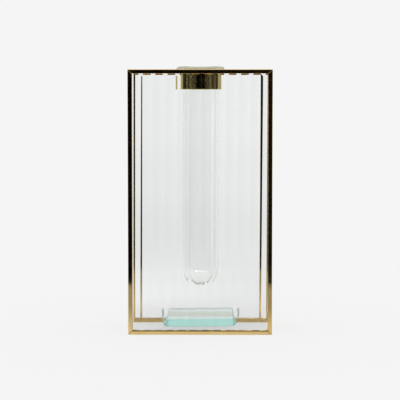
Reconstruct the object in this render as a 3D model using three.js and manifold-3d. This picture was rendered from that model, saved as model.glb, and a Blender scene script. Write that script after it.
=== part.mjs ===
// Stem vase: a fluted and a plain pane, both framed in brass channel, stand face to face, and a glass tube for one
// stem hangs between them. Millimetres, +Z up. The origin is the middle of the underside and the front looks
// along -Y.
import * as THREE from "three";
import { mergeVertices } from "three/addons/utils/BufferGeometryUtils.js";
import Module from "manifold-3d";

// Brass frames
const FRAME_WIDTH = 96.4;
const FRAME_DEPTH = 60; // over both frames
const CHANNEL_LIP = 2.8; // how far the channel reaches over the pane, front and back
const CHANNEL_WALL = 0.8;
const CHANNEL_ROUND = 0.35; // outer edges of the channel
const SOLDER_SEAM = 0.15; // between brass pieces

// Panes
const GLAZING_GAP = 0.3; // clear film between a pane and its channel
const PANE_THICKNESS = 2.4; // from the bottom of a flute to the flat back
const FLUTE_PITCH = 8.13;
const FLUTE_DEPTH = 0.4;
const FLUTE_SHIFT = 0.8; // the sheet was cut with a ridge this far right of its middle
const GROUND_WIDTH = 3.9; // border at the top and bottom where the ridges are ground away
const GROUND_DEPTH = 0.36; // how much of a ridge is gone at the very edge

// Glass block that joins the panes near the bottom
const BLOCK_WIDTH = 49;
const BLOCK_HEIGHT = 5;
const BLOCK_RISE = 5.2; // clear height under the block
const BLOCK_FLAT = 0.6; // upright flat that is left on the block's rounded sides
const GLUE_SEAM = 0.3; // between the block and each pane

// Tube
const TUBE_DIAMETER = 25.5;
const TUBE_WALL = 1.3;
const TUBE_LENGTH = 150; // over the lip
const TUBE_RISE = 19.6; // clear height between the block and the tube
const LIP_REACH = 3.7; // how far the lip stands out from the tube
const LIP_BAND = 0.1; // upright part of the lip's edge, between its two rounds
const LIP_UNDER_ROUND = 0.4;
const LIP_TOP_ROUND = 1.6;
const LIP_FILLET = 0.7; // where the tube's wall turns out into the lip
const MOUTH_ROUND = 2;

// Top plate and the collar that carries the tube
const PLATE_THICKNESS = 1;
const COLLAR_HEIGHT = 13.2;
const COLLAR_WALL = 1.5;
const COLLAR_CLEARANCE = 0.3; // between the collar's bore and the fillet under the lip
const TUBE_SEAT = 0.2; // between the lip and the top of the collar

// Fineness of the facets
const ARC_STEPS = 3;
const ROUND_SIDES = 36;

const QUARTER_TURN = Math.PI / 2;
const wasm = await Module();
wasm.setup();

// The frames are as tall as the tube needs, and their channels as deep as the panes need.
const lipHeight = LIP_UNDER_ROUND + LIP_BAND + LIP_TOP_ROUND;
const blockTop = BLOCK_RISE + BLOCK_HEIGHT;
const tubeFoot = blockTop + TUBE_RISE;
const tubeTop = tubeFoot + TUBE_LENGTH;
const tubeSeat = tubeTop - lipHeight;
const frameHeight = tubeSeat - TUBE_SEAT;
const bed = CHANNEL_WALL + GLAZING_GAP;
const channelDepth = 2 * bed + FLUTE_DEPTH + PANE_THICKNESS;

const vase = new THREE.Group();

const brass = () => new THREE.MeshStandardMaterial({ color: 0xc9a25a, roughness: 0.15, metalness: 1 });
const clearGlass = () => new THREE.MeshStandardMaterial({ color: 0xe6ebea, roughness: 0.05, metalness: 0 });
const aquaGlass = () => new THREE.MeshStandardMaterial({ color: 0xa8d6cc, roughness: 0.05, metalness: 0 });

function piece(name, geometry, material) {
  const mesh = new THREE.Mesh(geometry, material);
  mesh.name = name;
  return mesh;
}

// A closed geometry as a solid that can be cut.
function solidFrom(geometry) {
  const bare = geometry.clone();
  bare.deleteAttribute("normal");
  bare.deleteAttribute("uv");
  const merged = mergeVertices(bare);
  const vertProperties = merged.attributes.position.array;
  const triVerts = new Uint32Array(merged.index.array);
  return new wasm.Manifold(new wasm.Mesh({ numProp: 3, vertProperties, triVerts }));
}

function geometryFrom(solid) {
  const mesh = solid.getMesh();
  const geometry = new THREE.BufferGeometry();
  geometry.setAttribute("position", new THREE.BufferAttribute(mesh.vertProperties, 3));
  geometry.setIndex(new THREE.BufferAttribute(mesh.triVerts, 1));
  geometry.computeVertexNormals();
  return geometry;
}

// A rectangle centred on the origin.
function rectangle(width, height) {
  const outline = new THREE.Shape();
  outline.moveTo(-width / 2, -height / 2);
  outline.lineTo(width / 2, -height / 2);
  outline.lineTo(width / 2, height / 2);
  outline.lineTo(-width / 2, height / 2);
  return outline;
}

// Section of the channel with an outer edge at the origin: the legs along X, the web along Y.
function channelSection() {
  const inner = channelDepth - CHANNEL_WALL;
  const section = new THREE.Shape();
  section.moveTo(CHANNEL_ROUND, 0);
  section.lineTo(CHANNEL_LIP, 0);
  section.lineTo(CHANNEL_LIP, CHANNEL_WALL);
  section.lineTo(CHANNEL_WALL, CHANNEL_WALL);
  section.lineTo(CHANNEL_WALL, inner);
  section.lineTo(CHANNEL_LIP, inner);
  section.lineTo(CHANNEL_LIP, channelDepth);
  section.lineTo(CHANNEL_ROUND, channelDepth);
  section.absarc(CHANNEL_ROUND, channelDepth - CHANNEL_ROUND, CHANNEL_ROUND, QUARTER_TURN, Math.PI, false);
  section.absarc(CHANNEL_ROUND, CHANNEL_ROUND, CHANNEL_ROUND, Math.PI, Math.PI + QUARTER_TURN, false);
  return section;
}

// A channel along X that opens upwards, mitred: each point of the section stops short by its height.
function mitredChannel(length) {
  const channel = new THREE.ExtrudeGeometry(channelSection(), {
    depth: 1,
    bevelEnabled: false,
    curveSegments: ARC_STEPS,
  });
  const points = channel.attributes.position;
  for (let i = 0; i < points.count; i++) {
    const reach = (length - SOLDER_SEAM) / 2 - points.getX(i);
    points.setZ(i, points.getZ(i) > 0 ? reach : -reach);
  }
  return channel.rotateY(-QUARTER_TURN);
}

// Outline of a fluted pane seen along its flutes: flat back at PANE_THICKNESS, hollows bottoming at 0.
function flutedOutline(width) {
  const half = width / 2;
  const radius = (FLUTE_PITCH * FLUTE_PITCH) / (8 * FLUTE_DEPTH) + FLUTE_DEPTH / 2;
  const outline = new THREE.Shape();
  outline.moveTo(half, PANE_THICKNESS);
  outline.lineTo(-half, PANE_THICKNESS);
  const firstFlute = Math.floor((-half - FLUTE_SHIFT) / FLUTE_PITCH);
  const lastFlute = Math.ceil((half - FLUTE_SHIFT) / FLUTE_PITCH);
  for (let flute = firstFlute; flute < lastFlute; flute++) {
    const middle = FLUTE_SHIFT + (flute + 0.5) * FLUTE_PITCH;
    const from = Math.max(middle - FLUTE_PITCH / 2, -half);
    const to = Math.min(middle + FLUTE_PITCH / 2, half);
    const startAngle = Math.acos((from - middle) / radius);
    const endAngle = Math.acos((to - middle) / radius);
    outline.absarc(middle, -radius, radius, startAngle, endAngle, true);
  }
  return outline;
}

// What the grinding takes off along the bottom edge: a wedge along X that is deepest at the edge.
function groundWedge(length) {
  const slope = GROUND_DEPTH / GROUND_WIDTH;
  const overrun = GROUND_WIDTH / 4;
  const tip = GROUND_WIDTH + overrun;
  const ridge = -FLUTE_DEPTH;
  const wedge = new THREE.Shape();
  wedge.moveTo(-overrun, ridge + GROUND_DEPTH + slope * overrun);
  wedge.lineTo(-overrun, ridge - slope * overrun);
  wedge.lineTo(tip, ridge - slope * overrun);
  const extent = length + 2 * overrun;
  const geometry = new THREE.ExtrudeGeometry(wedge, { depth: extent, bevelEnabled: false });
  return geometry.translate(0, 0, -extent / 2).rotateY(-QUARTER_TURN);
}

// A fluted pane standing on z = 0, flutes upright on its outer face, which looks along -Y.
function flutedPane(width, height) {
  const sheet = new THREE.ExtrudeGeometry(flutedOutline(width), {
    depth: height,
    bevelEnabled: false,
    curveSegments: ARC_STEPS,
  });
  const bottomWedge = solidFrom(groundWedge(width));
  const topWedge = solidFrom(groundWedge(width).rotateY(Math.PI).translate(0, 0, height));
  return geometryFrom(solidFrom(sheet).subtract(bottomWedge).subtract(topWedge));
}

// A plain pane in the same place, as thick as the fluted one over its ridges.
function plainPane(width, height) {
  const thickness = FLUTE_DEPTH + PANE_THICKNESS;
  const sheet = new THREE.BoxGeometry(width, thickness, height);
  return sheet.translate(0, PANE_THICKNESS - thickness / 2, height / 2);
}

// One broad side of the vase: a pane in its ring of channels, with its outer face towards -Y. A channel that
// opens upwards comes onto each side of the ring by a turn about Y.
function framedPane(paneName, makePane, channelNames) {
  const framed = new THREE.Group();
  const outerFace = -FRAME_DEPTH / 2;
  const ring = [
    { side: "bottom", length: FRAME_WIDTH, turn: 0, x: 0, z: 0 },
    { side: "top", length: FRAME_WIDTH, turn: Math.PI, x: 0, z: frameHeight },
    { side: "left", length: frameHeight, turn: QUARTER_TURN, x: -FRAME_WIDTH / 2, z: frameHeight / 2 },
    { side: "right", length: frameHeight, turn: -QUARTER_TURN, x: FRAME_WIDTH / 2, z: frameHeight / 2 },
  ];
  for (const { side, length, turn, x, z } of ring) {
    const channel = piece(channelNames[side], mitredChannel(length), brass());
    channel.rotation.y = turn;
    channel.position.set(x, outerFace, z);
    framed.add(channel);
  }
  const pane = piece(paneName, makePane(FRAME_WIDTH - 2 * bed, frameHeight - 2 * bed), clearGlass());
  pane.position.set(0, outerFace + bed + FLUTE_DEPTH, bed);
  framed.add(pane);
  return framed;
}

const front = framedPane("front_pane", flutedPane, {
  bottom: "front_bottom_channel",
  top: "front_top_channel",
  left: "front_left_channel",
  right: "front_right_channel",
});
const rear = framedPane("rear_pane", plainPane, {
  bottom: "rear_bottom_channel",
  top: "rear_top_channel",
  left: "rear_right_channel",
  right: "rear_left_channel",
});
rear.rotation.z = Math.PI;
vase.add(front, rear);

// Outline of the block from the front, centred on the origin: its left and right sides are ground round.
function blockOutline() {
  const round = (BLOCK_HEIGHT - BLOCK_FLAT) / 2;
  const side = BLOCK_WIDTH / 2 - round;
  const level = BLOCK_FLAT / 2;
  const outline = new THREE.Shape();
  outline.absarc(side, -level, round, -QUARTER_TURN, 0, false);
  outline.absarc(side, level, round, 0, QUARTER_TURN, false);
  outline.absarc(-side, level, round, QUARTER_TURN, Math.PI, false);
  outline.absarc(-side, -level, round, Math.PI, Math.PI + QUARTER_TURN, false);
  return outline;
}

// The block is glued between the backs of the panes.
const paneBack = FRAME_DEPTH / 2 - bed - FLUTE_DEPTH - PANE_THICKNESS;
const blockDepth = 2 * (paneBack - GLUE_SEAM);
const blockBar = new THREE.ExtrudeGeometry(blockOutline(), {
  depth: blockDepth,
  bevelEnabled: false,
  curveSegments: ARC_STEPS,
});
const block = piece("spacer_block", blockBar.rotateX(QUARTER_TURN), aquaGlass());
block.position.set(0, blockDepth / 2, BLOCK_RISE + BLOCK_HEIGHT / 2);
vase.add(block);

// The top plate is soldered flush between the top channels, with a hole for the collar.
const collarBore = TUBE_DIAMETER / 2 + LIP_FILLET + COLLAR_CLEARANCE;
const collarRadius = collarBore + COLLAR_WALL;
const plateOutline = rectangle(FRAME_WIDTH, FRAME_DEPTH - 2 * (channelDepth + SOLDER_SEAM));
const plateHole = new THREE.Path();
plateHole.absarc(0, 0, collarRadius + SOLDER_SEAM, 0, 2 * Math.PI, true);
plateOutline.holes.push(plateHole);
const plateSheet = new THREE.ExtrudeGeometry(plateOutline, {
  depth: PLATE_THICKNESS,
  bevelEnabled: false,
  curveSegments: ROUND_SIDES / 2,
});
const plate = piece("top_plate", plateSheet, brass());
plate.position.z = frameHeight - PLATE_THICKNESS;
vase.add(plate);

// A profile of radius against height, turned about Z.
function turned(profile) {
  return new THREE.LatheGeometry(profile.getPoints(ARC_STEPS), ROUND_SIDES).rotateX(QUARTER_TURN);
}

// The collar is a plain sleeve whose top is flush with the plate.
const collarFoot = frameHeight - COLLAR_HEIGHT;
const sleeve = new THREE.Path();
sleeve.moveTo(collarBore, collarFoot);
sleeve.lineTo(collarRadius, collarFoot);
sleeve.lineTo(collarRadius, frameHeight);
sleeve.lineTo(collarBore, frameHeight);
sleeve.lineTo(collarBore, collarFoot);
vase.add(piece("collar", turned(sleeve), brass()));

// The tube hangs by its lip: outside from the round bottom up, over the lip, and down the inside.
function tubeProfile() {
  const outer = TUBE_DIAMETER / 2;
  const inner = outer - TUBE_WALL;
  const lip = outer + LIP_REACH;
  const bowl = tubeFoot + outer; // centre of the round bottom
  const profile = new THREE.Path();
  profile.moveTo(0, tubeFoot);
  profile.absarc(0, bowl, outer, -QUARTER_TURN, 0, false);
  profile.absarc(outer + LIP_FILLET, tubeSeat - LIP_FILLET, LIP_FILLET, Math.PI, QUARTER_TURN, true);
  profile.absarc(lip - LIP_UNDER_ROUND, tubeSeat + LIP_UNDER_ROUND, LIP_UNDER_ROUND, -QUARTER_TURN, 0, false);
  profile.absarc(lip - LIP_TOP_ROUND, tubeTop - LIP_TOP_ROUND, LIP_TOP_ROUND, 0, QUARTER_TURN, false);
  profile.absarc(inner + MOUTH_ROUND, tubeTop - MOUTH_ROUND, MOUTH_ROUND, QUARTER_TURN, Math.PI, false);
  profile.absarc(0, bowl, inner, 0, -QUARTER_TURN, true);
  return profile;
}
vase.add(piece("test_tube", turned(tubeProfile()), clearGlass()));

export default vase;
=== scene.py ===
"""Stem vase: polished brass frames, a fluted and a plain pane, an aqua glass block and a hanging tube."""
import math

import bmesh
import bpy
import numpy as np
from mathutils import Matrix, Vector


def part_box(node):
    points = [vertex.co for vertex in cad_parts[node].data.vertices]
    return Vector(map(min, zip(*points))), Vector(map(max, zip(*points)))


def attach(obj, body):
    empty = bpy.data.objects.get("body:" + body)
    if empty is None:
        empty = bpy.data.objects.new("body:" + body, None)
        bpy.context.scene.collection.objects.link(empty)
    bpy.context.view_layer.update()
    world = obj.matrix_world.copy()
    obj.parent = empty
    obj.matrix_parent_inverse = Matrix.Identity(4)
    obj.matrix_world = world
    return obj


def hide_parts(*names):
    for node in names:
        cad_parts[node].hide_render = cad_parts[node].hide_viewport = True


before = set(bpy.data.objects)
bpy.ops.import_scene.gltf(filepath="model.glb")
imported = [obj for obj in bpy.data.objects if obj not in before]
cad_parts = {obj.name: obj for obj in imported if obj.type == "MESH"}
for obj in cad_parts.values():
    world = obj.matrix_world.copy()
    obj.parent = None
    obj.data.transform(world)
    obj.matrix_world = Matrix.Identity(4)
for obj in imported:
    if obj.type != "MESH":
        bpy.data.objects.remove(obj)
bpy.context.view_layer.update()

# Millimetres to Blender's metres
MM = 0.001

# Brass
CHANNEL_WALL = 0.8 * MM
EDGE_ROUND = 0.35 * MM  # outer edges of the channel
PLATE_ROUND = 0.2 * MM
LIP_ROUND = 0.12 * MM  # free edges of the channel's legs
MITRE_ROUND = 0.3 * MM  # eased edges along a mitre, which show as a fine line
CHANNEL_CROWN = 0.08 * MM  # how far the middle of a leg swells beyond its edges
CROWN_STEP = 0.2 * MM
COLLAR_WALL = 1.5 * MM
COLLAR_ROUND = 0.3 * MM
SHEET_BRASS = (0.78, 0.57, 0.235, 1)
COLLAR_BRASS_WITH_PAINTED_REFLECTION = (0.78, 0.67, 0.3, 1)  # brass colour with a painted reflection tone: paler and greener than the sheet's, for the dark room it mirrors
BLOOM_TONE = (0.66, 0.45, 0.165, 1)
BLOOM_SHARE = 0.5
SPECK_TONE = (0.34, 0.23, 0.1, 1)
SPECK_SHARE = 0.5
BRASS_ROUGHNESS = 0.05
SMEAR_ROUGHNESS = 0.08
SPECK_ROUGHNESS = 0.2
POLISH_LINES = 0.25  # height of the polishing lines beside the sheet's ripple
DIE_LINES = 12.0  # height of the die's lines beside it
BRASS_BUMP = 0.06

# Panes
PANE_ARRIS = 0.15 * MM
FLUTE_PITCH = 8.13 * MM
FLUTE_DEPTH = 0.4 * MM
FLUTE_SHIFT = 0.8 * MM
FLUTE_LEAN = 0.006  # the sheet was cut a little askew: sideways drift of a ridge for each step up
RIDGE_ROUND = 0.1 * MM  # how softly a ridge comes to its crest
GROUND_WIDTH = 3.9 * MM
GROUND_DEPTH = 0.44 * MM
GROUND_BLEND = 0.015 * MM
PANE_TINT = (0.99, 0.998, 0.995, 1)
FLOAT_INDEX = 1.52  # refraction of the panes and the block
HAZE_ROUGHNESS = 0.02
SEED_ROUGHNESS = 0.1
SEED_HEIGHT = 0.5  # beside the draw streaks
MARK_HEIGHT = 0.05 * MM  # how high the marks in glass and brass stand

# Block
BLOCK_FLAT = 0.6 * MM  # upright flat that is left on its rounded sides
BLOCK_ARRIS = 0.12 * MM
BLOCK_TILT = 0.6 * MM  # how much higher its right side was glued on than its left
BLOCK_FLATNESS = (0.7, 0.95)  # up to where a surface counts as a ground edge, and from where as a face
BLOCK_FROST = 0.5  # roughness of its ground edges
# Painted light: the block's upright faces and its top and bottom get different tints, which stand in for
# how the light through it looks from each side
BLOCK_SIDE_PAINTED_TONE = (0.97, 0.945, 0.975, 1)
BLOCK_TOP_PAINTED_TONE = (0.84, 0.96, 0.95, 1)
BLOCK_EDGE_TINT = (0.9, 0.95, 0.93, 1)
BLOCK_DEPTH_TINT = (0.30, 0.83, 0.72, 1)
BLOCK_DENSITY = 20.0

# Tube
TUBE_RADIUS = 12.75 * MM
TUBE_WALL = 1.3 * MM
LIP_UNDER_ROUND = 0.4 * MM
LIP_TOP_ROUND = 1.6 * MM
LIP_BAND = 0.1 * MM
LIP_FILLET = 0.7 * MM
MOUTH_ROUND = 2 * MM
TUBE_TINT = (0.99, 0.995, 0.99, 1)
TUBE_INDEX = 1.47
# The pale band on the lip's rim is painted light, for how the clear lip refracts the light
RIM_PAINTED_TONE = (0.7, 0.7, 0.6, 1)
RIM_PAINTED_SHARE = 0.7  # how much of the look of the lip's rim is the painted pale band
RIM_REACH = (1.1 * MM, 0.3 * MM)  # from the lip's edge: where the painted pale band begins, and where it is full

# Fineness of the surfaces
ARC_STEPS = 6
ROUND_SIDES = 128
FLUTE_SAMPLES = 32
FLAT_HOLD = 0.06 * MM  # how soon a flat is truly flat beyond a rounded edge
WELD = 0.0005 * MM
SHARP_ANGLE = math.radians(38)

# Studio
PAPER_WHITE = 0.913  # what the floor and the backdrop show, in linear light
OVERHEAD_WHITE = 1.3
SIDE_LIGHT = 0.04  # how much brighter glass shows the backdrop on the right than in the middle
SIDE_LIGHT_FULL = 0.2  # sine of the bearing at which that is reached
SIDE_LIGHT_BACK = 300 * MM  # from how far before the vase a bearing on the table is taken
OVERHEAD_FROM = 0.45  # sine of the height at which the overhead light begins
OVERHEAD_FULL = 0.8
OVERHEAD_STEPS = 2000
TABLE_REACH = 60.0  # metres to the sides and behind, as far as the lens sees
TABLE_FRONT = 305 * MM  # how far the white table reaches towards the viewer
TABLE_GAP = 0.1 * MM
TABLE_LIFT = 0.85  # how much of the table's shadow the lens loses in the white, seen straight
TABLE_LIFT_BEHIND = 0.57  # seen through glass
TABLE_LIFT_MIRRORED = 0.6  # seen in a mirror
TABLE_SHADE = 0.45  # what mirrors see of the white towards the viewer, where the table lies in shade
TABLE_SHADE_FROM = 30 * MM
TABLE_SHADE_FULL = 180 * MM
TABLE_PAINTED_SHADE_BETWEEN = 0.62  # painted shade: what mirrors see of the white between the frames
TABLE_PAINTED_SHADE_BETWEEN_FROM = (20 * MM, 30 * MM)  # from the middle: where that painted shade ends, and where white is full
TABLE_PAINTED_SHADE_BEHIND_PANE = 0.75  # painted shade: how much of the white before the vase is left for mirrors behind a pane
TABLE_EDGE = 25 * MM  # how softly the table's front edge ends
# Metres behind the vase, and the table's white there as glass shows it, beside the backdrop's: painted
# light and shade on the table
TABLE_PAINTED_WHITES = (
    (-TABLE_FRONT, 1.0), (0.0, 0.92), (0.08, 0.925), (0.16, 0.97), (0.75, 0.925), (1.6, 0.965), (6.0, 1.0))
# The same for the side light on the table: close by, the left is the brighter side
TABLE_SIDE_LIGHTS = ((0.06, 0.0), (0.16, -0.055), (0.6, SIDE_LIGHT))
ROOM_RADIUS = 320 * MM
ROOM_TOP = 330 * MM
ROOM_ENDS = (90, -104)  # degrees to the right of straight before the vase
ROOM_COLUMNS = 49
ROOM_GREY = 0.4  # what mirrors see to the sides and behind
ROOM_DARK = (0.0005, 0.0005, 0.0005, 1)
ROOM_DIM = (0.03, 0.024, 0.024, 1)  # farther to the right
ROOM_THINGS = (0.12, 0.13, 0.12, 1)
LAMP_BEARINGS = (-70, -30, 10, 50)  # degrees to the right of straight before the vase
LAMP_REACH = (168 * MM, 315 * MM)  # distances of a lamp's inner and outer edge
LAMP_RISE = (186 * MM, 240 * MM)  # heights of these edges
LAMP_WIDTH = 80 * MM
LAMP_GLOW = 25.0

# Camera
CAMERA_PLACE = (8 * MM, -986 * MM, 157 * MM)
CAMERA_AIM = (-0.3 * MM, 0, 88.6 * MM)
CAMERA_LENS = 129.4
CAMERA_NEAREST = 10 * MM


def corners(node):
    """Lowest and highest corner of a CAD node, as arrays."""
    low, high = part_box(node)
    return np.array(low), np.array(high)


# Surfaces

def mesh_piece(name, grid, wrap_rows=False, caps=False):
    """A grid of points, rows by columns by xyz, as a closed mesh: each row is a ring and neighbours join in
    quads. The last row joins the first where wrap_rows is set, and caps close the first and last ring."""
    rows, columns, _ = grid.shape
    index = np.arange(rows * columns).reshape(rows, columns)
    if wrap_rows:
        index = np.vstack([index, index[:1]])
    beside = np.roll(index, -1, axis=1)
    quads = np.stack([index[:-1], beside[:-1], beside[1:], index[1:]], axis=-1)
    faces = quads.reshape(-1, 4).tolist()
    if caps:
        faces += [index[0, ::-1].tolist(), index[-1].tolist()]
    mesh = bpy.data.meshes.new(name)
    mesh.from_pydata(grid.reshape(-1, 3).tolist(), [], faces)
    welded = bmesh.new()
    welded.from_mesh(mesh)
    bmesh.ops.remove_doubles(welded, verts=welded.verts, dist=WELD)
    bmesh.ops.recalc_face_normals(welded, faces=welded.faces)
    welded.to_mesh(mesh)
    welded.free()
    mesh.polygons.foreach_set("use_smooth", np.ones(len(mesh.polygons), dtype=bool))
    mesh.set_sharp_from_angle(angle=SHARP_ANGLE)
    piece = bpy.data.objects.new(name, mesh)
    bpy.context.scene.collection.objects.link(piece)
    return piece


def arc(centre, radius, start, stop, steps=ARC_STEPS):
    """Points on a circle, from one angle to another: centre plus radius times cosine and sine."""
    angle = np.linspace(start, stop, steps + 1)[:, None]
    return np.array(centre) + radius * np.hstack([np.cos(angle), np.sin(angle)])


def rounded_outline(points, radii):
    """A closed outline of square corners, each replaced by a quarter circle of its own radius: from the
    corner, the arc lies radius * (1 - sin) towards the point before and radius * (1 - cos) towards the
    point after. One more point at either end of each arc keeps the flats between them flat."""
    points = np.array(points, dtype=float)
    before = np.roll(points, 1, axis=0) - points
    after = np.roll(points, -1, axis=0) - points
    before /= np.linalg.norm(before, axis=1, keepdims=True)
    after /= np.linalg.norm(after, axis=1, keepdims=True)
    angle = np.linspace(0, math.pi / 2, ARC_STEPS + 1)[None, :, None]
    sweep = before[:, None] * (1 - np.sin(angle)) + after[:, None] * (1 - np.cos(angle))
    radii = np.array(radii)[:, None, None]
    held = radii + FLAT_HOLD
    rounds = [held * before[:, None], radii * sweep, held * after[:, None]]
    return (points[:, None] + np.concatenate(rounds, axis=1)).reshape(-1, 2)


def eased_end(radius):
    """A quarter circle where a straight run meets its end face: how far each ring draws in and how far it
    stands back from the end. One more ring on either flat keeps it flat."""
    angle = np.linspace(0, math.pi / 2, ARC_STEPS + 1)
    inset = np.concatenate([[radius + FLAT_HOLD], radius * (1 - np.sin(angle)), [0]])
    setback = np.concatenate([[0], radius * (1 - np.cos(angle)), [radius + FLAT_HOLD]])
    return inset, setback


def refined(outline, step):
    """The same closed outline with more points along it, none farther apart than the step."""
    closed = np.vstack([outline, outline[:1]])
    run = np.append(0, np.cumsum(np.linalg.norm(np.diff(closed, axis=0), axis=1)))
    places = np.unique(np.concatenate([run[:-1], np.arange(0, run[-1], step)]))
    return np.stack([np.interp(places, run, closed[:, axis]) for axis in (0, 1)], axis=1)


def outward(outline):
    """Unit normals of a closed anticlockwise outline, square to the chord between the two neighbours."""
    chord = np.roll(outline, -1, axis=0) - np.roll(outline, 1, axis=0)
    normal = np.stack([chord[:, 1], -chord[:, 0]], axis=1)
    return normal / np.linalg.norm(normal, axis=1, keepdims=True)


def turned(name, profile):
    """A profile of radius and height, turned about Z: x = r cos t, y = r sin t. It starts and ends on the
    axis or closes on itself."""
    angle = np.linspace(0, 2 * math.pi, ROUND_SIDES, endpoint=False)
    radius = profile[:, :1]
    height = np.broadcast_to(profile[:, 1:], (len(profile), ROUND_SIDES))
    grid = np.stack([radius * np.cos(angle), radius * np.sin(angle), height], axis=-1)
    closes_on_itself = profile[0, 0] > WELD
    return mesh_piece(name, grid, wrap_rows=closes_on_itself)


# Brass channels

def channel_section(lip, depth):
    """Section of the channel, anticlockwise: first coordinate inwards over the pane, second from front to
    back. The face that looks outwards is crowned: it falls back towards its edges as the square of the
    distance from its middle."""
    points = [
        (0, 0), (lip, 0), (lip, CHANNEL_WALL), (CHANNEL_WALL, CHANNEL_WALL),
        (CHANNEL_WALL, depth - CHANNEL_WALL), (lip, depth - CHANNEL_WALL), (lip, depth), (0, depth),
    ]
    radii = [EDGE_ROUND] + 2 * [LIP_ROUND] + 2 * [EDGE_ROUND] + 2 * [LIP_ROUND] + [EDGE_ROUND]
    section = refined(rounded_outline(points, radii), CROWN_STEP)
    fall = CHANNEL_CROWN * (2 * section[:, 0] / lip - 1) ** 2
    section[:, 1] += fall * np.clip(1 - section[:, 1] / CHANNEL_WALL, 0, 1)
    return section


def mitred_channel(name, section, length, middle, along, inward, backward):
    """The section carried along a straight path between two mitres. A point stops short of the path's end
    by its own reach inwards, and near the end the section shrinks on a quarter circle, which eases the
    mitre's edges."""
    inset, setback = eased_end(MITRE_ROUND)
    shrink = np.concatenate([inset, inset[::-1]])[:, None, None]
    rings = section - shrink * outward(section)
    reach = length / 2 - rings[..., 0]
    reach -= np.concatenate([setback, setback[::-1]])[:, None]
    end = np.repeat([-1.0, 1.0], len(inset))[:, None]
    path = np.multiply.outer(end * reach, along)
    grid = middle + path + np.multiply.outer(rings[..., 0], inward)
    grid += np.multiply.outer(rings[..., 1], backward)
    return mesh_piece(name, grid, caps=True)


def brass_frames():
    """Both frames, each a ring of four mitred channels."""
    low, high = corners("front_bottom_channel")
    lip = high[2] - low[2]
    depth = high[1] - low[1]
    section = channel_section(lip, depth)
    half_width = corners("top_plate")[1][0]
    height = corners("front_top_channel")[1][2]
    across = np.array([1.0, 0, 0])
    up = np.array([0, 0, 1.0])
    sides = {
        "bottom": (2 * half_width, 0 * up, across, up),
        "top": (2 * half_width, height * up, across, -up),
        "left": (height, height / 2 * up - half_width * across, up, across),
        "right": (height, height / 2 * up + half_width * across, up, -across),
    }
    made = []
    for place, backward in (("front", np.array([0, 1.0, 0])), ("rear", np.array([0, -1.0, 0]))):
        outer_face = low[1] * backward
        for side, (length, middle, along, inward) in sides.items():
            name = f"{place}_{side}_brass"
            piece = mitred_channel(name, section, length, middle + outer_face, along, inward, backward)
            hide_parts(f"{place}_{side}_channel")
            made.append(piece)
    return made


# Brass plate and collar

def brass_plate():
    """A flat ring between a circle and a rectangle. Each ray from the middle runs from the hole to the
    edge, and the section goes out along the underside, round the edge, back along the top and round the
    hole."""
    low, high = corners("top_plate")
    hole = corners("collar")[1][0]
    corner_angle = math.atan2(high[1], high[0])
    corner_angles = [corner_angle, math.pi - corner_angle, math.pi + corner_angle, -corner_angle]
    even_angles = np.linspace(-math.pi / 2, 3 * math.pi / 2, ROUND_SIDES, endpoint=False)
    angle = np.unique(np.concatenate([even_angles, corner_angles]))
    ray = np.stack([np.cos(angle), np.sin(angle)], axis=1)
    edge = np.min(high[:2] / np.maximum(np.abs(ray), WELD), axis=1)
    inset, rise = eased_end(PLATE_ROUND)
    pull = np.concatenate([inset, inset[::-1]])[:, None]
    level = np.concatenate([low[2] + rise, high[2] - rise[::-1]])
    reach = np.concatenate([edge - pull, np.full((2, len(angle)), hole)])
    height = np.concatenate([level, [high[2], low[2]]])
    height = np.broadcast_to(height[:, None, None], reach.shape + (1,))
    grid = np.concatenate([reach[..., None] * ray, height], axis=-1)
    piece = mesh_piece("brass_top_plate", grid, wrap_rows=True)
    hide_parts("top_plate")
    return piece


def brass_collar():
    """A plain sleeve with eased edges, turned about Z."""
    low, high = corners("collar")
    outer = high[0]
    inner = outer - COLLAR_WALL
    points = [(inner, low[2]), (outer, low[2]), (outer, high[2]), (inner, high[2])]
    piece = turned("brass_collar", rounded_outline(points, 4 * [COLLAR_ROUND]))
    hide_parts("collar")
    return piece


# Glass

def ridge_height(across, up, height):
    """How far the fluted face stands out from the bottom of its hollows. A hollow is a circular arc across
    one pitch, ridges are where two arcs meet, and towards the top and bottom edges the ridges are ground
    away on an even slope."""
    radius = FLUTE_PITCH ** 2 / (8 * FLUTE_DEPTH) + FLUTE_DEPTH / 2
    drift = FLUTE_SHIFT + FLUTE_LEAN * (up - height / 2)
    phase = (across - drift) / FLUTE_PITCH
    from_ridge = np.abs(phase - np.round(phase)) * FLUTE_PITCH
    softened = np.sqrt(from_ridge ** 2 + RIDGE_ROUND ** 2)
    from_middle = np.clip(FLUTE_PITCH / 2 - softened, 0, None)
    flute = radius - np.sqrt(radius ** 2 - from_middle ** 2)
    from_edge = np.minimum(up, height - up)
    ground = np.clip(1 - from_edge / GROUND_WIDTH, 0, None)
    limit = FLUTE_DEPTH - GROUND_DEPTH * ground
    return -GROUND_BLEND * np.logaddexp(-flute / GROUND_BLEND, -limit / GROUND_BLEND)


def fluted_pane():
    """The front pane as rings stacked up its height: along the fluted outer face and back along the flat
    inner one."""
    low, high = corners("front_pane")
    height = high[2] - low[2]
    width = high[0] - low[0]
    samples = int(round(width / FLUTE_PITCH * FLUTE_SAMPLES))
    across = np.linspace(low[0], high[0], samples + 1)
    border = np.linspace(0, GROUND_WIDTH, 2 * ARC_STEPS + 1)
    middle = np.linspace(GROUND_WIDTH, height - GROUND_WIDTH, 2 * ARC_STEPS + 2)[1:-1]
    up = np.concatenate([border, middle, height - border[::-1]])
    fluted = low[1] + FLUTE_DEPTH - ridge_height(across[None], up[:, None], height)
    flat = np.full((len(up), 2), high[1])
    depth = np.hstack([fluted, flat])
    columns = np.concatenate([across, [high[0], low[0]]])
    grid = np.stack([
        np.broadcast_to(columns, depth.shape),
        depth,
        np.broadcast_to((low[2] + up)[:, None], depth.shape),
    ], axis=-1)
    piece = mesh_piece("front_fluted_glass", grid, caps=True)
    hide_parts("front_pane")
    return piece


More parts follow.
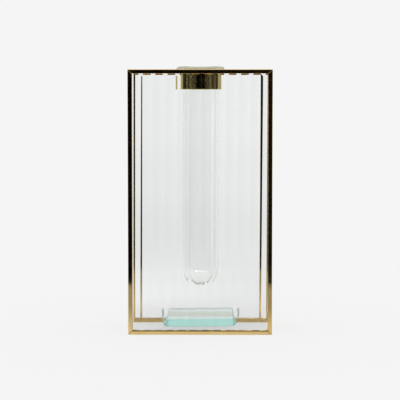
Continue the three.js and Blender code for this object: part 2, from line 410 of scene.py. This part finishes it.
def plain_pane():
    """The rear pane: its plan outline is carried up and draws in at the top and bottom arrises."""
    low, high = corners("rear_pane")
    plan = rounded_outline(
        [(low[0], low[1]), (high[0], low[1]), (high[0], high[1]), (low[0], high[1])], 4 * [PANE_ARRIS])
    inset, rise = eased_end(PANE_ARRIS)
    inset = np.concatenate([inset, inset[::-1]])
    height = np.concatenate([low[2] + rise, high[2] - rise[::-1]])
    rings = plan - inset[:, None, None] * outward(plan)
    grid = np.concatenate([rings, np.broadcast_to(height[:, None, None], rings.shape[:2] + (1,))], axis=-1)
    piece = mesh_piece("rear_plain_glass", grid, caps=True)
    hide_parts("rear_pane")
    return piece


def aqua_block():
    """A slab whose outline from the front, a rectangle with round sides, is carried from front to back and
    draws in at fine arrises. It sits a little askew: its height grows with the share of the way to the
    right."""
    low, high = corners("spacer_block")
    side_round = (high[2] - low[2] - BLOCK_FLAT) / 2
    outline = rounded_outline(
        [(low[0], low[2]), (high[0], low[2]), (high[0], high[2]), (low[0], high[2])], 4 * [side_round])
    inset, setback = eased_end(BLOCK_ARRIS)
    along = np.concatenate([low[1] + setback, high[1] - setback[::-1]])
    inset = np.concatenate([inset, inset[::-1]])
    rings = outline - inset[:, None, None] * outward(outline)
    right = (rings[..., 0] - low[0]) / (high[0] - low[0])
    height = rings[..., 1] + BLOCK_TILT * (right - 0.5)
    grid = np.stack([rings[..., 0], np.broadcast_to(along[:, None], height.shape), height], axis=-1)
    piece = mesh_piece("aqua_block", grid, caps=True)
    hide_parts("spacer_block")
    return piece


def glass_tube():
    """The tube turned about Z: outside from the round bottom up, over the lip, and down the inside."""
    low, high = corners("test_tube")
    lip = high[0]
    foot = low[2]
    top = high[2]
    seat = top - LIP_UNDER_ROUND - LIP_BAND - LIP_TOP_ROUND
    inner = TUBE_RADIUS - TUBE_WALL
    bowl = foot + TUBE_RADIUS
    quarter = math.pi / 2
    profile = np.vstack([
        arc((0, bowl), TUBE_RADIUS, -quarter, 0, 4 * ARC_STEPS),
        [(TUBE_RADIUS, bowl + FLAT_HOLD), (TUBE_RADIUS, seat - LIP_FILLET - FLAT_HOLD)],
        arc((TUBE_RADIUS + LIP_FILLET, seat - LIP_FILLET), LIP_FILLET, math.pi, quarter),
        arc((lip - LIP_UNDER_ROUND, seat + LIP_UNDER_ROUND), LIP_UNDER_ROUND, -quarter, 0),
        arc((lip - LIP_TOP_ROUND, top - LIP_TOP_ROUND), LIP_TOP_ROUND, 0, quarter),
        arc((inner + MOUTH_ROUND, top - MOUTH_ROUND), MOUTH_ROUND, quarter, math.pi),
        [(inner, top - MOUTH_ROUND - FLAT_HOLD), (inner, bowl + FLAT_HOLD)],
        arc((0, bowl), inner, 0, -quarter, 4 * ARC_STEPS),
    ])
    piece = turned("glass_tube", profile)
    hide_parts("test_tube")
    return piece


# Materials

class Signal:
    """A shader socket that takes part in Python arithmetic. Each operator adds a Math node."""

    def __init__(self, recipe, socket):
        self.recipe = recipe
        self.socket = socket

    def maths(self, operation, first, second):
        return self.recipe.node("ShaderNodeMath", {"operation": operation}, {0: first, 1: second})

    def __add__(self, other):
        return self.maths("ADD", self, other)

    __radd__ = __add__

    def __sub__(self, other):
        return self.maths("SUBTRACT", self, other)

    def __rsub__(self, other):
        return self.maths("SUBTRACT", other, self)

    def __mul__(self, other):
        return self.maths("MULTIPLY", self, other)

    __rmul__ = __mul__


class Recipe:
    """A node tree that is filled one node at a time."""

    def __init__(self, tree):
        self.tree = tree
        tree.nodes.clear()

    def node(self, kind, settings=None, sockets=None, output=0):
        """Adds a node, makes its settings, feeds its sockets with values or signals, and gives one output
        back."""
        made = self.tree.nodes.new(kind)
        for setting, value in (settings or {}).items():
            setattr(made, setting, value)
        for socket, value in (sockets or {}).items():
            if isinstance(value, Signal):
                self.tree.links.new(value.socket, made.inputs[socket])
            else:
                made.inputs[socket].default_value = value
        return Signal(self, made.outputs[output]) if made.outputs else None

    def object_place(self):
        return self.node("ShaderNodeTexCoord", output="Object")

    def noise(self, place, scale, detail=3.0, roughness=0.5):
        sockets = {"Vector": place, "Scale": scale, "Detail": detail, "Roughness": roughness}
        return self.node("ShaderNodeTexNoise", sockets=sockets)

    def stretched(self, place, factors):
        return self.node("ShaderNodeVectorMath", {"operation": "MULTIPLY"}, {0: place, 1: factors})

    def ramp(self, value, low, high, start=0.0, stop=1.0):
        """The value's rise from low to high, eased at both ends and mapped from start to stop."""
        sockets = {"Value": value, "From Min": low, "From Max": high, "To Min": start, "To Max": stop}
        return self.node("ShaderNodeMapRange", {"interpolation_type": "SMOOTHSTEP"}, sockets)

    def eased(self, value, stops):
        """A level that eases from each stop to the next. A stop is a value and the level that it gets."""
        level = stops[0][1]
        for (low, start), (high, stop) in zip(stops, stops[1:]):
            level = level + self.ramp(value, low, high, 0.0, stop - start)
        return level

    def through_glass(self):
        return self.node("ShaderNodeLightPath", output="Is Transmission Ray")

    def off_mirror(self):
        """One for reflected rays. Rays through glass count as glossy too, so they are taken out."""
        return self.node("ShaderNodeLightPath", output="Is Glossy Ray") * (1 - self.through_glass())

    def from_the_right(self, direction, strength):
        """Brightness beside the middle's: it grows with the sine of the bearing and levels off."""
        bearing = self.node("ShaderNodeVectorMath", {"operation": "NORMALIZE"}, {0: direction})
        right = self.node("ShaderNodeSeparateXYZ", sockets={0: bearing}, output="X")
        return 1 + strength * self.ramp(right, -SIDE_LIGHT_FULL, SIDE_LIGHT_FULL, -1.0, 1.0)

    def reflected(self):
        """One for rays that a surface has thrown back on their way, none for those that came straight or
        through glass."""
        bounces = self.node("ShaderNodeLightPath", output="Glossy Depth")
        return self.ramp(bounces, 0.0, 1.0)

    def mix(self, factor, first, second):
        """A colour between two others. The Mix node keeps its colour sockets after those for numbers and
        vectors."""
        return self.node("ShaderNodeMix", {"data_type": "RGBA"}, {0: factor, 6: first, 7: second}, output=2)


def new_material(name):
    material = bpy.data.materials.new(name)
    material.use_nodes = True
    return material, Recipe(material.node_tree)


def polished_brass(name, tone, die_lines=0.0):
    """Mirror-polished brass with faint handling marks, a warmer bloom in patches and fine polishing lines.
    A drawn tube also keeps lines from the die along its length."""
    material, recipe = new_material(name)
    place = recipe.object_place()
    bloom = recipe.ramp(recipe.noise(place, scale=60.0, detail=4.0), low=0.42, high=0.72)
    specks = recipe.ramp(recipe.noise(place, scale=1400.0, detail=2.0), low=0.66, high=0.74)
    smear = recipe.ramp(recipe.noise(place, scale=180.0, detail=5.0, roughness=0.6), low=0.4, high=0.75)
    colour = recipe.mix(bloom * BLOOM_SHARE, tone, BLOOM_TONE)
    colour = recipe.mix(specks * SPECK_SHARE, colour, SPECK_TONE)
    lines = recipe.noise(place, scale=2600.0, detail=2.0)
    ripple = recipe.noise(place, scale=90.0, detail=2.0)
    relief = lines * POLISH_LINES + ripple
    if die_lines:
        upright = recipe.stretched(place, (1.0, 1.0, 0.03))
        relief = relief + recipe.noise(upright, scale=500.0, detail=2.0) * die_lines
    bump = recipe.node("ShaderNodeBump", sockets={
        "Strength": BRASS_BUMP, "Distance": MARK_HEIGHT, "Height": relief})
    shader = recipe.node("ShaderNodeBsdfPrincipled", sockets={
        "Base Color": colour,
        "Metallic": 1.0,
        "Roughness": BRASS_ROUGHNESS + SMEAR_ROUGHNESS * smear + SPECK_ROUGHNESS * specks,
        "Normal": bump,
    })
    recipe.node("ShaderNodeOutputMaterial", sockets={"Surface": shader})
    return material


def drawn_glass(recipe, tint, index, streak_stretch, streak_strength, shine=1.0, frost=0.0):
    """Clear glass with faint draw streaks, tiny seeds and a breath of haze. The shine scales its
    reflections, and the frost is the roughness of ground edges."""
    place = recipe.object_place()
    streaks = recipe.noise(recipe.stretched(place, streak_stretch), scale=120.0, detail=2.0)
    seeds = recipe.ramp(recipe.noise(place, scale=900.0, detail=1.0), low=0.74, high=0.8)
    haze = recipe.ramp(recipe.noise(place, scale=45.0, detail=4.0), low=0.5, high=0.8)
    bump = recipe.node("ShaderNodeBump", sockets={
        "Strength": streak_strength, "Distance": MARK_HEIGHT, "Height": streaks + seeds * SEED_HEIGHT})
    return recipe.node("ShaderNodeBsdfPrincipled", sockets={
        "Base Color": tint,
        "Roughness": HAZE_ROUGHNESS * haze + SEED_ROUGHNESS * seeds + frost,
        "IOR": index,
        "Specular Tint": (shine, shine, shine, 1),
        "Transmission Weight": 1.0,
        "Normal": bump,
    })


def pane_glass(name):
    """Clear sheet with its draw streaks upright."""
    material, recipe = new_material(name)
    shader = drawn_glass(
        recipe, PANE_TINT, FLOAT_INDEX, streak_stretch=(1.0, 1.0, 0.06), streak_strength=0.01, shine=0.5)
    recipe.node("ShaderNodeOutputMaterial", sockets={"Surface": shader})
    return material


def tube_glass():
    """Clear tube whose wide lip has a pale band painted on its rim: painted light, which stands in for how
    the clear lip refracts the light. The rim is where the square of the distance from the axis comes near
    that of the lip's edge."""
    material, recipe = new_material("blown_tube_glass")
    outwards = recipe.stretched(recipe.object_place(), (1.0, 1.0, 0.0))
    square = recipe.node(
        "ShaderNodeVectorMath", {"operation": "DOT_PRODUCT"}, {0: outwards, 1: outwards}, output="Value")
    lip = corners("test_tube")[1][0]
    rim = recipe.ramp(square, *np.square(lip - np.array(RIM_REACH)))
    clear = drawn_glass(
        recipe, TUBE_TINT, TUBE_INDEX, streak_stretch=(1.0, 1.0, 0.01), streak_strength=0.004, shine=0.6)
    # painted light: a pale diffuse band over the rim of the lip
    pale = recipe.node("ShaderNodeBsdfDiffuse", sockets={"Color": RIM_PAINTED_TONE})
    shader = recipe.node("ShaderNodeMixShader", sockets={0: RIM_PAINTED_SHARE * rim, 1: clear, 2: pale})
    recipe.node("ShaderNodeOutputMaterial", sockets={"Surface": shader})
    return material


def float_glass():
    """Thick float glass: it takes the red out of the light on its way through. Its edges are ground, and
    there the fourth powers of the normal's parts add up to less than the one that they make on a flat. Its
    top and bottom get a more aqua tint than its upright faces: painted light, for the light that it guides
    along inside."""
    material, recipe = new_material("aqua_float_glass")
    normal = recipe.node("ShaderNodeTexCoord", output="Normal")
    squares = recipe.node("ShaderNodeVectorMath", {"operation": "MULTIPLY"}, {0: normal, 1: normal})
    flatness = recipe.node(
        "ShaderNodeVectorMath", {"operation": "DOT_PRODUCT"}, {0: squares, 1: squares}, output="Value")
    ground = 1 - recipe.ramp(flatness, *BLOCK_FLATNESS)
    # painted light: faces that look up or down get the top's painted tone, upright faces the side's
    upward = recipe.node("ShaderNodeSeparateXYZ", sockets={0: squares}, output="Z")
    level = recipe.ramp(upward, *BLOCK_FLATNESS)
    tint = recipe.mix(level, BLOCK_SIDE_PAINTED_TONE, BLOCK_TOP_PAINTED_TONE)
    tint = recipe.mix(ground, tint, BLOCK_EDGE_TINT)
    shader = drawn_glass(
        recipe, tint, FLOAT_INDEX, streak_stretch=(1.0, 1.0, 1.0), streak_strength=0.002,
        frost=BLOCK_FROST * ground)
    depth = recipe.node(
        "ShaderNodeVolumeAbsorption", sockets={"Color": BLOCK_DEPTH_TINT, "Density": BLOCK_DENSITY})
    recipe.node("ShaderNodeOutputMaterial", sockets={"Surface": shader, "Volume": depth})
    return material


# Studio

def overhead(sine):
    """Brightness of the studio at a height whose sine is given: paper white round about, brighter
    overhead."""
    rise = np.clip((sine - OVERHEAD_FROM) / (OVERHEAD_FULL - OVERHEAD_FROM), 0, 1)
    return PAPER_WHITE + (OVERHEAD_WHITE - PAPER_WHITE) * rise ** 2 * (3 - 2 * rise)


def studio_world():
    """White all round and brighter overhead. Glass shows it brighter to the right, and mirrors see grey."""
    world = bpy.data.worlds.new("studio")
    world.use_nodes = True
    recipe = Recipe(world.node_tree)
    direction = recipe.node("ShaderNodeTexCoord", output="Generated")
    sine = recipe.node("ShaderNodeSeparateXYZ", sockets={0: direction}, output="Z")
    mirrored = recipe.off_mirror()
    through = recipe.through_glass()
    white = PAPER_WHITE * (1 - through * (1 - recipe.from_the_right(direction, SIDE_LIGHT)))
    round_about = white - (PAPER_WHITE - ROOM_GREY) * mirrored
    white = round_about + (OVERHEAD_WHITE - round_about) * recipe.ramp(sine, OVERHEAD_FROM, OVERHEAD_FULL)
    light = recipe.node("ShaderNodeBackground", sockets={"Color": white})
    recipe.node("ShaderNodeOutputWorld", sockets={"Surface": light})
    bpy.context.scene.world = world


def stage_piece(name, grid, material):
    """An open sheet of the studio from a grid of points."""
    rows, columns, _ = grid.shape
    index = np.arange(rows * columns).reshape(rows, columns)
    quads = np.stack([index[:-1, :-1], index[:-1, 1:], index[1:, 1:], index[1:, :-1]], axis=-1)
    mesh = bpy.data.meshes.new(name)
    mesh.from_pydata(grid.reshape(-1, 3).tolist(), [], quads.reshape(-1, 4).tolist())
    mesh.materials.append(material)
    piece = bpy.data.objects.new(name, mesh)
    bpy.context.scene.collection.objects.link(piece)
    return piece


def white_table():
    """A flat sheet whose paper renders as the backdrop's white under the studio's light. The lens sees it
    lifted most of the way to that white, so the shadow stays faint. Behind the vase the white falls off a
    little in painted light and shade, and mirrors see it fall into painted shade towards the viewer and
    between the frames, and deeper still through a pane."""
    sine = np.linspace(0, 1, OVERHEAD_STEPS + 1)
    falling = overhead(sine) * 2 * sine
    light_on_table = float(np.mean((falling[1:] + falling[:-1]) / 2))
    paper = PAPER_WHITE / light_on_table
    material, recipe = new_material("table_paper")
    straight = recipe.node("ShaderNodeLightPath", output="Is Camera Ray")
    through = recipe.through_glass()
    mirrored = recipe.off_mirror()
    place = recipe.object_place()
    behind = recipe.node("ShaderNodeSeparateXYZ", sockets={0: place}, output="Y")
    shade = recipe.ramp(behind, -TABLE_SHADE_FULL, -TABLE_SHADE_FROM, TABLE_SHADE, 1.0)
    # painted shade on the table between the frames, as mirrors see it
    between = recipe.ramp(behind * behind, *np.square(TABLE_PAINTED_SHADE_BETWEEN_FROM), TABLE_PAINTED_SHADE_BETWEEN, 1.0)
    # painted shade on the table before the vase, for mirrors seen through a pane
    dimmed = recipe.ramp(behind, -TABLE_SHADE_FROM, 0.0, TABLE_PAINTED_SHADE_BEHIND_PANE, 1.0)
    shade = shade * between * (1 - through * (1 - dimmed))
    edge = recipe.ramp(behind, -TABLE_FRONT, TABLE_EDGE - TABLE_FRONT)
    away = recipe.node("ShaderNodeVectorMath", {"operation": "ADD"}, {0: place, 1: (0, SIDE_LIGHT_BACK, 0)})
    side_light = recipe.eased(behind, TABLE_SIDE_LIGHTS)
    # painted light and shade on the table as glass sees it, with the painted side light
    near = recipe.eased(behind, TABLE_PAINTED_WHITES) * recipe.from_the_right(away, side_light)
    white = 1 - through * (1 - near) - recipe.reflected() * (1 - shade * edge)
    lit = recipe.node("ShaderNodeBsdfDiffuse", sockets={"Color": paper * white})
    lifted = recipe.node("ShaderNodeEmission", sockets={"Color": PAPER_WHITE * white})
    share = straight * TABLE_LIFT + through * TABLE_LIFT_BEHIND + mirrored * TABLE_LIFT_MIRRORED
    shader = recipe.node("ShaderNodeMixShader", sockets={0: share, 1: lit, 2: lifted})
    recipe.node("ShaderNodeOutputMaterial", sockets={"Surface": shader})
    across = np.linspace(-TABLE_REACH, TABLE_REACH, 2)
    away = np.array([-TABLE_FRONT, TABLE_REACH])
    grid = np.stack(np.broadcast_arrays(across[None, :], away[:, None], -TABLE_GAP), axis=-1)
    stage_piece("table", grid, material)


def show_in_reflections(recipe, light):
    """Ends a material whose front only reflections show, and that is clear otherwise."""
    behind = recipe.node("ShaderNodeNewGeometry", output="Backfacing")
    clear = recipe.node("ShaderNodeBsdfTransparent")
    share = recipe.reflected() * (1 - behind)
    shader = recipe.node("ShaderNodeMixShader", sockets={0: share, 1: clear, 2: light})
    recipe.node("ShaderNodeOutputMaterial", sockets={"Surface": shader})


def hide_from(piece, rays):
    """Keeps a piece of the studio out of some kinds of rays."""
    for ray in rays:
        setattr(piece, f"visible_{ray}", False)


def dark_room():
    """A dim wall bent round the front and the sides, which only reflections show: the unlit room before the
    table, a little lighter to the right and with upright things standing along its sides."""
    material, recipe = new_material("dark_room")
    place = recipe.object_place()
    right = recipe.node("ShaderNodeSeparateXYZ", sockets={0: place}, output="X")
    upright = recipe.noise(recipe.stretched(place, (1.0, 1.0, 0.05)), scale=20.0, detail=2.0)
    sides = recipe.ramp(right * right, low=0.004, high=0.05)
    things = sides * recipe.ramp(upright, low=0.45, high=0.62)
    dim = recipe.mix(recipe.ramp(right, low=-0.05, high=0.3), ROOM_DARK, ROOM_DIM)
    dim = recipe.mix(things, dim, ROOM_THINGS)
    show_in_reflections(recipe, recipe.node("ShaderNodeEmission", sockets={"Color": dim}))
    angle = np.linspace(*np.radians(ROOM_ENDS), ROOM_COLUMNS)[None, :]
    across = ROOM_RADIUS * np.sin(angle)
    away = -ROOM_RADIUS * np.cos(angle)
    height = np.array([-ROOM_TOP, ROOM_TOP])[:, None]
    grid = np.stack(np.broadcast_arrays(across, away, height), axis=-1)
    wall = stage_piece("dark_room", grid, material)
    hide_from(wall, ("camera", "diffuse", "shadow"))


def sparkle_lamps():
    """Lamps before the wall, which only reflections behind glass show: the sparkles in the tube's round
    bottom. They rise outwards and shine down, so only steep reflections meet their light."""
    material, recipe = new_material("lamp")
    show_in_reflections(recipe, recipe.node("ShaderNodeEmission", sockets={"Strength": LAMP_GLOW}))
    sideways = np.array([-LAMP_WIDTH / 2, LAMP_WIDTH / 2])[None, :]
    reach = np.array(LAMP_REACH)[:, None]
    rise = np.array(LAMP_RISE)[:, None]
    for number, bearing in enumerate(np.radians(LAMP_BEARINGS)):
        right = reach * np.sin(bearing) + sideways * np.cos(bearing)
        behind = sideways * np.sin(bearing) - reach * np.cos(bearing)
        grid = np.stack(np.broadcast_arrays(right, behind, rise), axis=-1)
        lamp = stage_piece(f"lamp_{number}", grid, material)
        hide_from(lamp, ("camera", "diffuse", "glossy", "shadow"))


def camera():
    """Stands at its place and looks at its aim, level from side to side."""
    data = bpy.data.cameras.new("camera")
    data.lens = CAMERA_LENS
    data.clip_start = CAMERA_NEAREST
    holder = bpy.data.objects.new("camera", data)
    place = np.array(CAMERA_PLACE)
    aim = np.array(CAMERA_AIM) - place
    turn = math.atan2(-aim[0], aim[1])
    tilt = math.atan2(aim[2], math.hypot(aim[0], aim[1]))
    holder.location = CAMERA_PLACE
    holder.rotation_euler = (math.pi / 2 + tilt, 0, turn)
    bpy.context.scene.collection.objects.link(holder)
    bpy.context.scene.camera = holder


def finish_piece(piece, material, body):
    """Gives a piece its finish and the body that it rides on."""
    piece.data.materials.append(material)
    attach(piece, body)


brass = polished_brass("polished_brass", SHEET_BRASS)
for brass_piece in brass_frames() + [brass_plate()]:
    finish_piece(brass_piece, brass, "frame")
# the collar's brass carries a painted reflection tone, paler and greener than the sheet's
finish_piece(brass_collar(), polished_brass("drawn_brass", COLLAR_BRASS_WITH_PAINTED_REFLECTION, DIE_LINES), "frame")
finish_piece(fluted_pane(), pane_glass("fluted_pane_glass"), "frame")
finish_piece(plain_pane(), pane_glass("plain_pane_glass"), "frame")
finish_piece(aqua_block(), float_glass(), "frame")
finish_piece(glass_tube(), tube_glass(), "tube")

studio_world()
white_table()
dark_room()
sparkle_lamps()
camera()

scene = bpy.context.scene
scene.view_settings.view_transform = "Standard"
scene.cycles.max_bounces = 32
scene.cycles.transmission_bounces = 32
scene.cycles.glossy_bounces = 12
